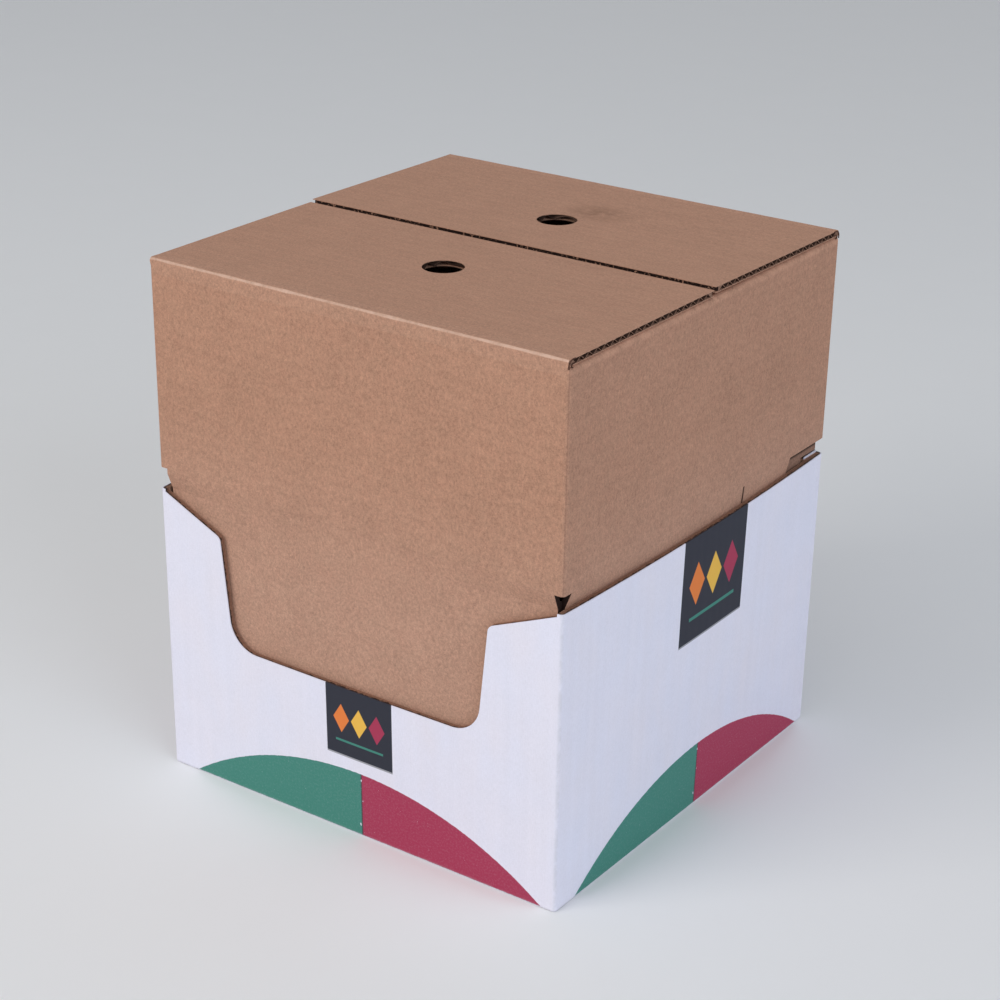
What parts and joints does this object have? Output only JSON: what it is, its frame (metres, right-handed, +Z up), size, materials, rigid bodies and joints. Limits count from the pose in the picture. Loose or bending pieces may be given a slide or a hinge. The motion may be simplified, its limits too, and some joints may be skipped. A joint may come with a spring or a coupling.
{
  "type": "cardboard tray box",
  "caption": "Shelf-ready pack of corrugated board: a white display tray with a shaped front cut-out and a brown lift-off hood with two top flaps and finger holes.",
  "frame": {"origin": "middle of the tray's base, on the floor", "axes": "+Z up, the display cut-out faces -Y, +X to the right seen from the front"},
  "size_m": [0.241, 0.2395, 0.2692],
  "materials": {
    "white_board": "matt white-faced corrugated board, brown inside, with printed fields of colour",
    "brown_board": "matt brown kraft corrugated board"
  },
  "bodies": {
    "tray": {"tray": "white_board"},
    "hood": {"hood": "brown_board"},
    "front_flap": {"front_flap": "brown_board"},
    "rear_flap": {"rear_flap": "brown_board"}
  },
  "joints": [
    {"name": "hood_lift", "type": "slide", "parent": "tray", "child": "hood", "axis": [0, 0, 1], "range_m": [0, 0.15]},
    {"name": "front_flap_fold", "type": "hinge", "parent": "hood", "child": "front_flap", "pos_m": [0, -0.116, 0.2665], "axis": [1, 0, 0], "range_deg": [0, 195]},
    {"name": "rear_flap_fold", "type": "hinge", "parent": "hood", "child": "rear_flap", "pos_m": [0, 0.116, 0.2665], "axis": [-1, 0, 0], "range_deg": [0, 194]}
  ]
}
